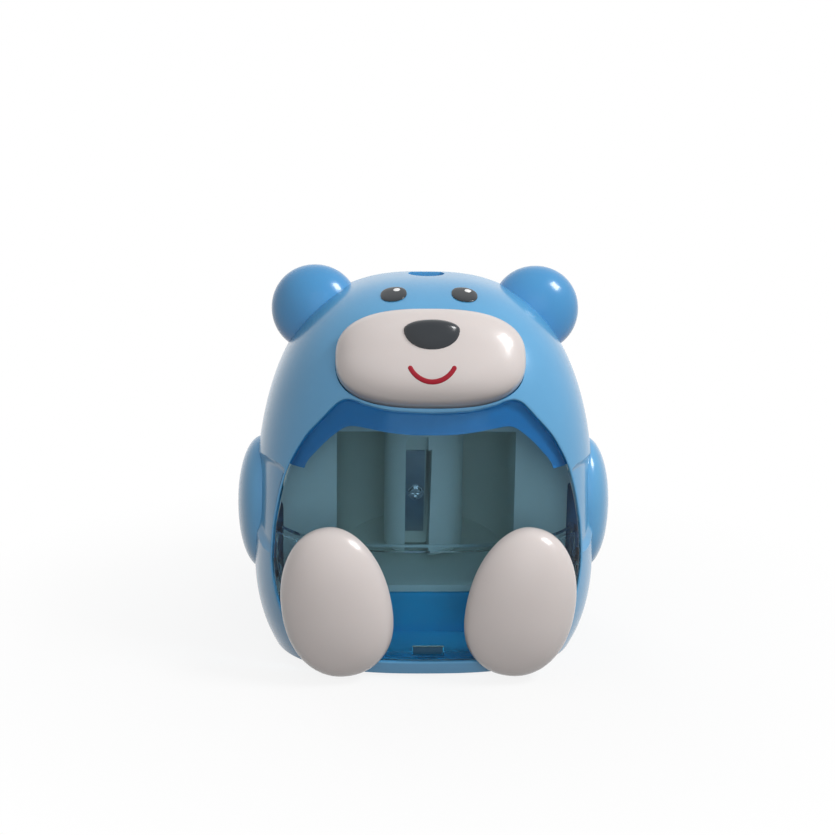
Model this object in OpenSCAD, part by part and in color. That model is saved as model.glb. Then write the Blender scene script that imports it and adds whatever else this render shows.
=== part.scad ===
// Bear-shaped crank pencil sharpener with a clear shavings drawer.
// Origin on the table under the middle of the body, +Z up, front faces -Y.

/* [Body] */
// Width of the body without the arms
body_w = 100; // [90:1:110]
// Depth of the body without feet and crank
body_d = 86; // [78:1:94]
// Height from the table to the crown
body_h = 107.9; // [100:0.1:116]
// Height of the widest level
belly_z = 26; // [23:1:29]
// How far the round form would run below the widest level
belly_drop = 47.6; // [44:0.2:56]
// Squareness of the body seen from above
form_n = 2.6; // [2.2:0.05:3.0]
// Squareness of the crown
crown_n = 2.7; // [2.3:0.05:3.0]
// Squareness of the body below the belly
base_n = 2.27; // [2:0.01:2.6]
// Wall of the moulded shells
wall = 2.4; // [1.8:0.1:3.0]
// Depth position of the joint between the shells
split_y = 6; // [4:0.5:8]
// Height of the shell rim above the table
rim_z = 0.8; // [0.6:0.1:1.2]
// Distance from the side of the body to the opening at its widest
side_bar = 6.2; // [5.5:0.1:7.5]
// Distance from the crown down to the upper corners of the opening
brow = 28.7; // [27:0.1:31]
// Depth of the finger recesses beside the opening
recess_depth = 1.2; // [0.8:0.1:1.5]
// Height of the arm centres
arm_z = 39.6; // [36:0.1:42]
// Half height of an arm
arm_half_h = 20; // [18:0.1:22]
// Half depth of an arm
arm_half_d = 15; // [13:0.5:17]
// Bulge of an arm from its middle plane
arm_bulge = 7.6; // [7:0.1:9]
// Wall of the hollow ears, arms and muzzle
pad_wall = 2; // [1.6:0.1:2.4]

/* [Face] */
// Half width of the muzzle
muzzle_half_w = 26; // [24:0.1:28]
// Half height of the muzzle along its slope
muzzle_half_h = 13.8; // [13:0.1:15]
// Bulge of the muzzle from its middle plane
muzzle_bulge = 9; // [8:0.1:10]
// Distance from the crown down to the middle of the muzzle
muzzle_drop = 18.1; // [17:0.1:20]
// Lean of the muzzle from upright
muzzle_lean = 30.8; // [28:0.1:33]
// Half width of the nose
nose_half_w = 7.6; // [7:0.1:9]
// Sideways position of the eye centres
eye_x = 9.9; // [9:0.1:11]
// Distance from the front of the body back to the eye centres
eye_back = 26.5; // [25:0.1:28]
// Radius of an eye disc
eye_r = 3.65; // [3:0.05:4.5]
// Mean radius of the smile arc
smile_r = 6.6; // [6:0.1:7.5]
// Stroke of the smile
smile_stroke = 1.3; // [1:0.1:1.8]
// Radius of an ear
ear_r = 12.7; // [11:0.1:13.5]
// Half depth of an ear
ear_half_d = 9.6; // [8.5:0.1:10.5]
// Height of the ear centres over the surface of the body
ear_z = -0.4; // [-1.5:0.1:0.5]
// Sideways position of the ear centres
ear_x = 32.2; // [31:0.1:34]

/* [Drawer] */
// Wall of the window
window_t = 1.8; // [1.5:0.1:2.2]
// Wall of the tray
tray_t = 1.6; // [1.4:0.1:2.0]
// Gap between drawer and body round the opening
drawer_gap = 0.4; // [0.3:0.05:0.6]
// Height of the tray rim
tray_rim_z = 39; // [35:0.5:43]
// Height of the low back wall of the tray
tray_back_z = 15.5; // [13:0.5:16]
// Half width of a foot
foot_half_w = 15.5; // [14.5:0.1:17]
// Half height of a foot
foot_half_h = 21.8; // [20:0.1:24]
// Bulge of a foot
foot_bulge = 8.4; // [7:0.1:10]
// Outward lean of the feet
foot_lean = 10; // [0:0.5:18]
// How much narrower a foot gets towards its toe
foot_taper = 0.06; // [0:0.01:0.12]
// Height of the foot centres
foot_z = 23; // [22:0.1:25]
// Sideways position of the foot centres
foot_x = 25.4; // [24:0.1:27]

/* [Cutter] */
// Depth position of the pencil axis
axis_y = 3; // [2:0.1:4]
// Radius of the pencil bore in the guide
pencil_r = 4.2; // [4.0:0.05:4.4]
// Radius of the hole in the crown
crown_hole_r = 5.25; // [5:0.05:6]
// Radius of the cutter holder
holder_r = 11.7; // [11:0.1:12.5]
// Height of the lower end of the holder
holder_z = 25.4; // [25:0.1:27]
// Half angle of the sharpening cone
cone_angle = 11.4; // [10:0.1:13]
// Height of the cone tip
cone_tip_z = 31.5; // [31:0.1:33]
// Length of the blade
blade_l = 27; // [24:0.1:28]
// Width of the blade
blade_w = 5.6; // [5:0.1:6.5]
// Thickness of the blade
blade_t = 0.7; // [0.5:0.05:0.9]

/* [Drive] */
// Teeth of the gear on the cutter holder
head_teeth = 16; // [14:1:18]
// Teeth of the gear on the crank shaft
crank_teeth = 20; // [18:1:22]
// Tooth size
gear_module = 1.4; // [1.3:0.05:1.5]
// Play between the flanks
backlash = 0.24; // [0.15:0.01:0.35]
// Distance from the crown down to the crank shaft
shaft_z = 22; // [21:0.1:23]
// Radius of the crank shaft
shaft_r = 3; // [2.5:0.1:3.5]
// Radial running clearance of the shafts
run_gap = 0.06; // [0.03:0.01:0.09]
// Distance from the shaft to the knob
crank_len = 34; // [30:1:38]
// Thickness of the crank arm
arm_t = 4.5; // [4:0.1:6]
// Radius of the knob
knob_r = 6.5; // [6:0.1:8]
// Length of the knob
knob_l = 18; // [15:1:22]

/* [Hidden] */
$fn = 48;
EPS = 0.02;
form_up = body_h - belly_z;
half_w = body_w / 2;
half_d = body_d / 2;
ring_pts = 40;
up_rings = 12;
low_levels = [3, 8, 15];

function power(v, p) = sign(v) * pow(abs(v), p);
function shrink(u, n) = pow(max(0, 1 - pow(u, n)), 1 / n);
function scale_at(z) = z > belly_z ? shrink((z - belly_z) / form_up, crown_n)
    : shrink((belly_z - z) / belly_drop, base_n);
function front_at(x, z) =
    -half_d * pow(pow(scale_at(z), form_n) - pow(abs(x) / half_w, form_n), 1 / form_n);
function side_at(y, z) =
    half_w * pow(pow(scale_at(z), form_n) - pow(abs(y) / half_d, form_n), 1 / form_n);
function rim_back(x) = -front_at(x, rim_z) - wall;
function rim_side(y) = side_at(y, rim_z) - wall;
function spread(x, y) =
    pow(pow(abs(x) / half_w, form_n) + pow(abs(y) / half_d, form_n), 1 / form_n);
function top_at(x, y) = belly_z + form_up * shrink(spread(x, y), crown_n);
function rise_y(x, y) = (top_at(x, y + 0.1) - top_at(x, y - 0.1)) / 0.2;
function rise_x(x, y) = (top_at(x + 0.1, y) - top_at(x - 0.1, y)) / 0.2;

muzzle_z = body_h - muzzle_drop;
muzzle_sink = 2.4;
muzzle_c = [0, front_at(0, muzzle_z) + muzzle_sink, muzzle_z];
muzzle_n = 2.6;
muzzle_pegs = [-15, 15];
nose_c = [0, -8.3, 5.4];
nose_peg_z = 4;
smile_z = -2.4;
smile_span = [207, 333];
eye_y = eye_back - half_d;
eye_c = [eye_x, eye_y, top_at(eye_x, eye_y)];
eye_tilt = [atan(rise_y(eye_x, eye_y) * cos(atan(rise_x(eye_x, eye_y)))),
    -atan(rise_x(eye_x, eye_y)), 0];
ear_c = [ear_x, split_y, top_at(ear_x, split_y) + ear_z];
arm_sink = 2.5;
arm_c = [side_at(0, arm_z) - arm_sink, 0, arm_z];
arm_posts = [arm_z - 8, arm_z + 8];
foot_rise = 0.5;
foot_c = [foot_x, front_at(foot_x, foot_z) - foot_rise, foot_z];
foot_n = 2.13;
foot_pegs = [foot_z - 7, foot_z + 7];
crank_z = body_h - shaft_z;
head_pitch = head_teeth * gear_module / 2;
crank_pitch = crank_teeth * gear_module / 2;
cone_dist = norm([head_pitch, crank_pitch]);
face_w = 5.5;
taper = 1 - face_w / cone_dist;
addendum = gear_module - 0.2;
dedendum = addendum + 0.3;
pressure = 20;
gear_seat_z = crank_z - crank_pitch - 1;
neck_end_z = crank_z - crank_pitch * taper + 0.2;
plate_z = gear_seat_z - 6;
plate_t = 2.5;
frame_top = plate_z + plate_t;
neck_r = 7.5;
journal_r = 8.6;
neck_top_r = 5.8;
trough_r = 25.7;
trough_t = 2;
panel_half_w = half_w - 9;
panel_t = 2;
bay_half_w = half_w - 11.5;
chute_z = tray_back_z + 1;
chute_slope = 12;
bay_y = -14;
tray_back_y = bay_y - 1.2;
bay_wall_z = chute_z - 0.2;
floor_z = 3.6;
window_base = 5;
lip_low = body_h - 48.9;
recess_c = [half_w - 8.7, 45.2];
recess_w = 8.8;
recess_l = 24;
recess_r = 4;
slot_half_w = 4.4;
slot_z = [7.1, 10];
slot_gap = 0.2;
crank_gear_y = axis_y + head_pitch;
bracket_y = crank_gear_y + 5.2;
bracket_t = 3.6;
bracket_bolt = [8, bracket_y + 7.6];
boss_end_y = half_d + 0.5;
boss_r = 9;
bush_r = 5;
bush_y = bracket_y + bracket_t + 4.1;
arm_y = boss_end_y + 1.7;
pin_r = 2;
bolt_seat_y = split_y + 6;
screw_seat_z = 2.5;
pilot_r = 1.25;
shell_bolts = [[half_w - 13, 20], [half_w - 23, body_h - 24]];
bolt_room = 3.5;
frame_bolts = [[panel_half_w - 10.3, bay_y + 5.8],
    [(trough_r + 3) * cos(55), axis_y + (trough_r + 3) * sin(55)]];
front_bolt = [rim_side(split_y - 6) - bolt_room, split_y - 6];
rear_bolt = [rim_side(split_y + 8) - bolt_room, split_y + 8];
base_bolts = concat(frame_bolts, [front_bolt, rear_bolt]);
pad_x = half_w - 19.5;
pad_y = rim_back(pad_x + 4) - 5;
pad_spots = [[pad_x, -pad_y], [pad_x, pad_y]];
pad_r = 5;
pad_t = 1.65;
blade_x = 0.1;
blade_foot = -1.8;
blade_head = blade_foot + blade_l;
blade_bolt = [-2.5, 11.5];
pocket_gap = 0.2;
pocket_room = 6.7;

window_half = [[6, 76.5], [11.5, 76.9], [17.6, 78.1], [20, 78.9], [22.7, 79.2],
    [25, 78.3], [27, 76.4], [30.5, 72.5], [33.5, 69], [36, 65], [38.6, 59.7],
    [40.7, 53], [42.3, 45.6], [43.2, 39.5], [43.8, 31], [43.3, 25], [42.3, 20],
    [40.3, 14.3], [37.6, 8.8], [36.2, 6.2], [34.6, 5]];
lip_half = [[6, 70.2], [12.2, 70.8], [18, 71.7], [22.3, 71.8], [26, 69.4],
    [30.5, 64.8], [34.3, 59], [34.3, 0]];
table_w = max([for (p = window_half) p[0]]);
table_top = max([for (p = window_half) p[1]]);
stretch_x = (half_w - side_bar) / table_w;
stretch_z = (body_h - brow - window_base) / (table_top - window_base);

function fitted(pts) = [for (p = pts)
    [p[0] * stretch_x, window_base + (p[1] - window_base) * stretch_z]];
function oval(a, b, z, n, k) = [for (i = [0:k - 1])
    [a * power(cos(360 * i / k), 2 / n), b * power(sin(360 * i / k), 2 / n), z]];
function mirrored(pts) = concat(pts, [for (i = [len(pts) - 1:-1:0]) [-pts[i][0], pts[i][1]]]);
function involute(a) = tan(a) * 180 / PI - a;
function flank(rho, rv, nv) = let (rb = rv * cos(pressure), al = rho <= rb ? 0 : acos(rb / rho))
    90 / nv + involute(pressure) - involute(al) - backlash / 4 / rv * 180 / PI;

module loft(rings) {
    k = len(rings[0]);
    m = len(rings);
    polyhedron(
        points = [for (r = rings) for (p = r) p],
        faces = concat(
            [[for (i = [0:k - 1]) i]],
            [[for (i = [k - 1:-1:0]) (m - 1) * k + i]],
            [for (j = [0:m - 2]) for (i = [0:k - 1]) [j * k + i, (j + 1) * k + i, j * k + (i + 1) % k]],
            [for (j = [0:m - 2]) for (i = [0:k - 1])
                [j * k + (i + 1) % k, (j + 1) * k + i, (j + 1) * k + (i + 1) % k]]
        )
    );
}

module body_form(inset, low) {
    up = form_up - inset;
    loft(concat(
        [for (z = concat([low], [for (v = low_levels) if (v > low) v]))
            let (s = scale_at(z))
            oval(half_w * s - inset, half_d * s - inset, z, form_n, ring_pts)],
        [for (j = [0:up_rings]) let (f = 87 * j / up_rings, s = pow(cos(f), 2 / crown_n))
            oval((half_w - inset) * s, (half_d - inset) * s, belly_z + up * pow(sin(f), 2 / crown_n),
                form_n, ring_pts)]
    ));
}

module pillow(a, b, up, down, n, k, m, slim = 0) {
    loft([for (j = [-m:m]) let (f = 86 * j / m, h = j > 0 ? up : down, w = power(sin(f), 2 / n))
        oval(a * pow(cos(f), 2 / n) * (1 - slim * w), b * pow(cos(f), 2 / n), h * w, n, k)]);
}

module along_y(front, back) {
    translate([0, back, 0])
        rotate([90, 0, 0])
            linear_extrude(back - front)
                children();
}

module window_outline(grow) {
    offset(delta = grow)
        polygon(mirrored(fitted(window_half)));
}

module front_space(y) {
    translate([-90, y - 200, -10])
        cube([180, 200, 150]);
}

module rear_space(y) {
    translate([-90, y, -10])
        cube([180, 200, 150]);
}

module both_sides() {
    children();
    mirror([1, 0, 0])
        children();
}

module recess_outline() {
    translate(recess_c)
        offset(r = recess_r)
            square([recess_w - 2 * recess_r, recess_l - 2 * recess_r], center = true);
}

module muzzle_place() {
    translate(muzzle_c)
        rotate([-muzzle_lean, 0, 0])
            children();
}

module muzzle_form(inset) {
    pillow(muzzle_half_w - inset, muzzle_bulge - inset, muzzle_half_h - inset,
        muzzle_half_h - inset, muzzle_n, 36, 7);
}

module smile_arc(grow) {
    translate([0, 0, smile_z])
        rotate([90, 0, 0]) {
            rotate(smile_span[0])
                rotate_extrude(angle = smile_span[1] - smile_span[0])
                    translate([smile_r - smile_stroke / 2 - grow, 0])
                        square([smile_stroke + 2 * grow, 12]);
            for (t = smile_span)
                translate([smile_r * cos(t), smile_r * sin(t), 0])
                    cylinder(r = smile_stroke / 2 + grow, h = 12);
        }
}

module eye_place() {
    translate(eye_c)
        rotate(eye_tilt)
            children();
}

module ear_form(inset) {
    translate(ear_c)
        pillow(ear_r - inset, ear_half_d - inset, ear_r - inset, ear_r - inset, 2, 28, 6);
}

module ear_post(r) {
    translate(ear_c)
        rotate([0, 225, 0])
            translate([0, 0, pad_wall / 2 - ear_r])
                cylinder(r = r, h = ear_r + 6.8);
}

module arm_form(inset) {
    translate(arm_c)
        pillow(arm_bulge - inset, arm_half_d - inset, arm_half_h - inset, arm_half_h - inset, 2.1, 24, 6);
}

module arm_post(r, z) {
    translate([arm_c[0] - 8.5, 0, z])
        rotate([0, 90, 0])
            cylinder(r = r, h = arm_bulge + 6.4);
}

module crown_hole(r) {
    translate([0, axis_y, crank_z])
        cylinder(r = r, h = shaft_z + 10);
}

module base_boss(p) {
    translate([p[0], p[1], floor_z + 0.2]) {
        cylinder(r = 4.7, h = 11);
        translate([0, -1.5, 0])
            cube([20, 3, 11]);
    }
}

module post_hole(p) {
    translate([p[0], p[1], 0])
        cylinder(r = pilot_r, h = 12.5);
}

module bolt(head_r, head_h, shank_r, shank_l) {
    difference() {
        union() {
            translate([0, 0, -head_h])
                cylinder(r = head_r, h = head_h);
            cylinder(r = shank_r, h = shank_l);
        }
        for (a = [0, 90])
            rotate(a)
                translate([-head_r * 0.62, -0.32, -head_h - 1])
                    cube([head_r * 1.24, 0.64, 1.8]);
    }
}

module shell_bolt_axis(r, front, back) {
    for (b = shell_bolts)
        both_sides()
            translate([b[0], 0, b[1]])
                along_y(front, back)
                    circle(r);
}

module front_shell() {
    color([0.30, 0.62, 0.88])
        difference() {
            union() {
                difference() {
                    body_form(0, rim_z);
                    body_form(wall, -2);
                    along_y(-half_d - 20, 0)
                        window_outline(0);
                }
                intersection() {
                    difference() {
                        union() {
                            intersection() {
                                body_form(wall / 2, rim_z);
                                along_y(-half_d - 20, -5)
                                    difference() {
                                        window_outline(3);
                                        window_outline(0);
                                    }
                            }
                            intersection() {
                                body_form(window_t + 0.3, rim_z);
                                along_y(-half_d - 20, -5)
                                    difference() {
                                        window_outline(3);
                                        polygon(mirrored(fitted(lip_half)));
                                    }
                            }
                        }
                        body_form(window_t + 2.1, -2);
                    }
                    translate([-half_w, -half_d - 20, lip_low])
                        cube([2 * half_w, half_d + 20, 30]);
                }
                intersection() {
                    body_form(1, rim_z);
                    union() {
                        shell_bolt_axis(3.6, split_y - 9, split_y);
                        both_sides()
                            for (b = shell_bolts)
                                translate([b[0], split_y - 9, b[1] - 1])
                                    cube([half_w, 9, 2]);
                        both_sides()
                            base_boss(front_bolt);
                    }
                }
            }
            rear_space(split_y - 0.1);
            both_sides()
                difference() {
                    along_y(-half_d - 20, -10)
                        recess_outline();
                    body_form(recess_depth, rim_z - 1);
                }
            crown_hole(crown_hole_r);
            muzzle_place()
                for (x = muzzle_pegs)
                    translate([x, -6, 0])
                        rotate([-90, 0, 0])
                            cylinder(r = 2.1, h = 20);
            both_sides()
                eye_place()
                    translate([0, 0, -0.6])
                        cylinder(r = eye_r + 0.08, h = 3);
            both_sides()
                ear_post(3.1);
            both_sides()
                for (z = arm_posts)
                    arm_post(2.6, z);
            shell_bolt_axis(pilot_r, split_y - 8.5, split_y + 14);
            both_sides()
                post_hole(front_bolt);
        }
}

module rear_shell() {
    color([0.30, 0.62, 0.88])
        difference() {
            union() {
                difference() {
                    body_form(0, rim_z);
                    body_form(wall, -2);
                }
                intersection() {
                    body_form(1, rim_z);
                    union() {
                        shell_bolt_axis(4.6, split_y, half_d + 2);
                        both_sides()
                            base_boss(rear_bolt);
                    }
                }
                translate([0, 0, crank_z])
                    along_y(bush_y - 0.5, boss_end_y)
                        circle(boss_r);
            }
            front_space(split_y + 0.1);
            crown_hole(crown_hole_r);
            both_sides()
                ear_post(3.1);
            shell_bolt_axis(1.7, 0, split_y + 9);
            shell_bolt_axis(3.1, bolt_seat_y, half_d + 20);
            both_sides()
                post_hole(rear_bolt);
            translate([0, 0, crank_z])
                along_y(20, half_d + 20)
                    circle(bush_r + EPS);
        }
}

module base_plate() {
    color([0.28, 0.58, 0.85])
        difference() {
            union() {
                intersection() {
                    body_form(wall + 0.25, 0);
                    translate([-half_w, -half_d, 1])
                        cube([2 * half_w, 2 * half_d, floor_z - 1]);
                }
                intersection() {
                    body_form(wall + 0.6, 0);
                    translate([-bay_half_w, bay_y - 0.6, 2])
                        cube([2 * bay_half_w, panel_t, bay_wall_z - 2]);
                }
            }
            for (b = base_bolts)
                both_sides()
                    translate([b[0], b[1], 0]) {
                        cylinder(r = 1.6, h = 6);
                        cylinder(r = 3, h = screw_seat_z);
                    }
            for (p = pad_spots)
                both_sides()
                    translate([p[0], p[1], 0])
                        cylinder(r = pad_r + 0.1, h = pad_t + 0.05);
        }
}

module ear() {
    difference() {
        union() {
            difference() {
                ear_form(0);
                ear_form(pad_wall);
                body_form(-0.05, rim_z);
            }
            ear_post(3);
        }
        difference() {
            translate(ear_c)
                cube(60, center = true);
            ear_form(0);
        }
    }
}

module left_ear() {
    color([0.30, 0.62, 0.88])
        mirror([1, 0, 0])
            ear();
}

module right_ear() {
    color([0.30, 0.62, 0.88])
        ear();
}

module arm() {
    difference() {
        arm_form(0);
        arm_form(pad_wall);
        body_form(-0.05, rim_z);
    }
    for (z = arm_posts)
        arm_post(2.5, z);
}

module left_arm() {
    color([0.30, 0.62, 0.88])
        mirror([1, 0, 0])
            arm();
}

module right_arm() {
    color([0.30, 0.62, 0.88])
        arm();
}

module muzzle() {
    color([0.95, 0.94, 0.93])
        difference() {
            union() {
                difference() {
                    muzzle_place()
                        muzzle_form(0);
                    muzzle_place()
                        muzzle_form(pad_wall);
                    body_form(-0.1, rim_z);
                }
                muzzle_place()
                    for (x = muzzle_pegs)
                        translate([x, -7, 0])
                            rotate([-90, 0, 0])
                                cylinder(r = 2, h = 13);
            }
            muzzle_place()
                difference() {
                    translate([0, -1.3, 0])
                        smile_arc(0.05);
                    muzzle_form(0.85);
                }
            muzzle_place()
                translate([0, 0, nose_peg_z])
                    rotate([90, 0, 0])
                        cylinder(r = 1.6, h = 20);
        }
}

module nose() {
    color([0.24, 0.27, 0.30])
        muzzle_place() {
            difference() {
                translate(nose_c)
                    pillow(nose_half_w, 2.6, 2.9, 5.9, 2.1, 24, 5, 0);
                muzzle_form(-0.04);
            }
            translate([0, 0, nose_peg_z])
                rotate([90, 0, 0])
                    translate([0, 0, 5.5])
                        cylinder(r = 1.5, h = 4.5);
        }
}

module smile() {
    color([0.78, 0.06, 0.20])
        muzzle_place()
            intersection() {
                translate([0, -1.3, 0])
                    smile_arc(0);
                difference() {
                    muzzle_form(-0.12);
                    muzzle_form(0.8);
                }
            }
}

module eye() {
    eye_place()
        translate([0, 0, -0.55])
            cylinder(r = eye_r, h = 0.85);
}

module left_eye() {
    color([0.20, 0.22, 0.25])
        mirror([1, 0, 0])
            eye();
}

module right_eye() {
    color([0.20, 0.22, 0.25])
        eye();
}

module drawer_window() {
    color([0.45, 0.62, 0.68, 0.45])
        difference() {
            intersection() {
                difference() {
                    body_form(0, rim_z);
                    body_form(window_t, -2);
                }
                along_y(-half_d - 20, -8)
                    window_outline(-drawer_gap);
            }
            translate([-slot_half_w, -half_d - 20, slot_z[0]])
                cube([2 * slot_half_w, half_d, slot_z[1] - slot_z[0]]);
            both_sides()
                for (z = foot_pegs)
                    translate([foot_c[0], 0, z])
                        along_y(foot_c[1] - 10, foot_c[1] + 10)
                            circle(pin_r + 0.05);
        }
}

module tray_space(inset, low, top) {
    intersection() {
        body_form(window_t + 0.3 + inset, rim_z);
        along_y(-half_d - 20, tray_back_y - inset)
            intersection() {
                window_outline(-drawer_gap - 0.3 - inset);
                translate([-half_w, low])
                    square([2 * half_w, top - low]);
            }
    }
}

module drawer_tray() {
    color([0.50, 0.66, 0.72, 0.4])
        difference() {
            union() {
                difference() {
                    tray_space(0, window_base + 0.5, tray_rim_z);
                    tray_space(tray_t, window_base + 0.5 + tray_t, tray_rim_z + 20);
                }
                difference() {
                    tray_space(0, tray_rim_z - 1.8, tray_rim_z);
                    body_form(window_t + 3.4, -2);
                }
            }
            translate([-bay_half_w, tray_back_y - tray_t - 0.5, tray_back_z])
                cube([2 * bay_half_w, 10, 60]);
            translate([-half_w, tray_back_y - tray_t - 0.5, tray_back_z + 12])
                cube([2 * half_w, 10, 60]);
        }
}

module catch_insert() {
    color([0.12, 0.18, 0.24])
        intersection() {
            difference() {
                body_form(0.9, rim_z);
                body_form(window_t + 0.2, -2);
            }
            translate([slot_gap - slot_half_w, -half_d - 20, slot_z[0] + slot_gap])
                cube([2 * (slot_half_w - slot_gap), half_d, slot_z[1] - slot_z[0] - 2 * slot_gap]);
        }
}

module foot() {
    difference() {
        translate(foot_c)
            rotate([0, foot_lean, 0])
                pillow(foot_half_w, foot_bulge, foot_half_h, foot_half_h, foot_n, 32, 7, foot_taper);
        body_form(-0.35, -2);
    }
    for (z = foot_pegs)
        translate([foot_c[0], 0, z])
            along_y(foot_c[1] - 4.4, foot_c[1] + 1.9)
                circle(pin_r);
}

module left_foot() {
    color([0.95, 0.94, 0.93])
        mirror([1, 0, 0])
            foot();
}

module right_foot() {
    color([0.95, 0.94, 0.93])
        foot();
}

module above_chute(rise) {
    translate([0, bay_y, chute_z + rise])
        rotate([chute_slope, 0, 0])
            translate([-half_w, -60, 0])
                cube([2 * half_w, 140, 120]);
}

module trough(r, top) {
    translate([0, axis_y, 10])
        cylinder(r = r, h = top - 10);
    translate([-r, bay_y - 1, 10])
        cube([2 * r, axis_y - bay_y + 1, top - 10]);
}

module mechanism_frame() {
    color([0.90, 0.88, 0.80])
        difference() {
            union() {
                intersection() {
                    union() {
                        intersection() {
                            body_form(wall + 0.5, rim_z);
                            translate([-panel_half_w, bay_y, chute_z])
                                cube([2 * panel_half_w, panel_t, frame_top - chute_z]);
                        }
                        difference() {
                            trough(trough_r + trough_t, frame_top);
                            front_space(bay_y);
                        }
                        translate([0, axis_y, frame_top - 1])
                            cylinder(r = 9.5, h = 3.7);
                    }
                    above_chute(0);
                }
                for (b = frame_bolts)
                    both_sides()
                        translate([b[0], b[1], floor_z + 0.1])
                            cylinder(r = 4, h = 24);
            }
            intersection() {
                trough(trough_r, plate_z);
                above_chute(trough_t);
            }
            translate([0, axis_y, plate_z - 5])
                cylinder(r = journal_r + run_gap, h = plate_t + 5);
            translate([0, axis_y, plate_z - 5])
                cylinder(r = neck_r + run_gap, h = 20);
            for (b = frame_bolts)
                both_sides()
                    post_hole(b);
            both_sides()
                translate([bracket_bolt[0], bracket_bolt[1], plate_z - 5])
                    cylinder(r = 1.05, h = 20);
        }
}

module holder_place() {
    translate([0, axis_y, cone_tip_z])
        rotate([cone_angle, 0, 0])
            children();
}

module pocket_outline() {
    left = blade_x - blade_w - pocket_gap;
    top = blade_head + pocket_room;
    polygon(concat(
        [[left, -9], [0.9, -9], [0.9, top]],
        [for (t = [90:15:180]) [left + 2.4 + 2.4 * cos(t), top - 2.4 + 2.4 * sin(t)]]));
}

module cutter_holder() {
    mouth_r = 4.4;
    bore_z = cone_tip_z + mouth_r / tan(cone_angle);
    color([0.90, 0.88, 0.80])
        difference() {
            translate([0, axis_y, 0]) {
                translate([0, 0, holder_z])
                    cylinder(r1 = holder_r - 1.6, r2 = holder_r, h = 1.6);
                translate([0, 0, holder_z + 1.6])
                    cylinder(r = holder_r, h = plate_z - 1.9 - holder_z);
                translate([0, 0, plate_z - 1])
                    cylinder(r = journal_r, h = plate_t + 0.8);
                translate([0, 0, plate_z])
                    cylinder(r = neck_r, h = gear_seat_z - plate_z);
                translate([0, 0, gear_seat_z - 1])
                    cylinder(r = neck_top_r, h = neck_end_z + 1 - gear_seat_z);
            }
            translate([0, axis_y, cone_tip_z + 0.5])
                cylinder(r1 = 0.1, r2 = mouth_r, h = bore_z - cone_tip_z - 0.5);
            translate([0, axis_y, bore_z - 0.01])
                cylinder(r = mouth_r, h = body_h);
            holder_place()
                along_y(-20, 0)
                    pocket_outline();
            holder_place()
                along_y(-20, 0.7)
                    polygon([[blade_x + 0.4, -9.2], [1.1, -9.2],
                        [1.9, blade_head + 3], [blade_x + 0.4, blade_head + 3]]);
            holder_place()
                translate([blade_bolt[0], 0, blade_bolt[1]])
                    along_y(-1, 6.5)
                        circle(1.03);
        }
}

module blade() {
    color([0.70, 0.72, 0.75])
        holder_place()
            difference() {
                along_y(-blade_t - 0.02, -0.02)
                    intersection() {
                        offset(delta = -pocket_gap)
                            pocket_outline();
                        translate([blade_x - blade_w, blade_foot])
                            square([blade_w, blade_l]);
                    }
                translate([blade_bolt[0], 0, blade_bolt[1]])
                    along_y(-3, 1)
                        circle(1.15);
            }
}

module blade_screw() {
    color([0.72, 0.72, 0.72])
        holder_place()
            translate([blade_bolt[0], -blade_t - 0.04, blade_bolt[1]])
                rotate([-90, 0, 0]) {
                    translate([0, 0, -0.3])
                        bolt(1.75, 1, 1, 6.8);
                    translate([0, 0, -0.4])
                        cylinder(r = 2.35, h = 0.4);
                }
}

module bevel(teeth, pitch_r, dist) {
    delta = atan(pitch_r / dist);
    rv = pitch_r / cos(delta);
    nv = teeth / cos(delta);
    steps = 5;
    radii = [for (i = [0:steps]) rv - dedendum + (addendum + dedendum) * i / steps];
    linear_extrude(height = dist * (1 - taper), scale = taper)
        polygon([for (t = [0:teeth - 1]) for (s = [-1, 1]) for (i = [0:steps])
            let (rho = radii[s < 0 ? i : steps - i],
                a = 360 * t / teeth + s * flank(rho, rv, nv) / cos(delta),
                r = dist * tan(delta + atan((rho - rv) / cone_dist)))
            [r * cos(a), r * sin(a)]]);
}

module head_gear() {
    color([0.93, 0.93, 0.90])
        translate([0, axis_y, 0])
            difference() {
                union() {
                    translate([0, 0, crank_z - crank_pitch])
                        rotate(90)
                            bevel(head_teeth, head_pitch, crank_pitch);
                    translate([0, 0, gear_seat_z + 0.02])
                        cylinder(r = head_pitch - 2.9, h = 1.2);
                }
                translate([0, 0, plate_z])
                    cylinder(r = neck_top_r + EPS, h = 40);
            }
}

module thrust_washer() {
    color([0.75, 0.74, 0.70])
        translate([0, axis_y, frame_top + 2.8])
            difference() {
                cylinder(r = 9.3, h = gear_seat_z - frame_top - 2.9);
                translate([0, 0, -1])
                    cylinder(r = neck_r + 0.05, h = 5);
            }
}

module crank_gear() {
    color([0.93, 0.93, 0.90])
        translate([0, 0, crank_z])
            difference() {
                union() {
                    translate([0, crank_gear_y, 0])
                        rotate([90, 0, 0])
                            rotate(180 / crank_teeth - 90)
                                bevel(crank_teeth, crank_pitch, head_pitch);
                    along_y(crank_gear_y - 0.1, crank_gear_y + 1.8)
                        circle(crank_pitch - 3.6);
                    along_y(crank_gear_y, bracket_y - 0.3)
                        circle(6);
                }
                along_y(-10, 30)
                    circle(shaft_r + EPS);
            }
}

module crank_shaft() {
    color([0.72, 0.73, 0.75])
        translate([0, 0, crank_z])
            difference() {
                along_y(axis_y + head_pitch * taper - 0.2, arm_y + arm_t - 0.2)
                    circle(shaft_r);
                along_y(bracket_y + bracket_t + 0.2, bracket_y + bracket_t + 1.3)
                    difference() {
                        circle(shaft_r + 1);
                        circle(shaft_r - 0.5);
                    }
                along_y(arm_y + arm_t - 12, arm_y + 15)
                    circle(pilot_r);
                translate([-5, arm_y - 0.3, 2.3])
                    cube([10, 10, 5]);
            }
}

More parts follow.
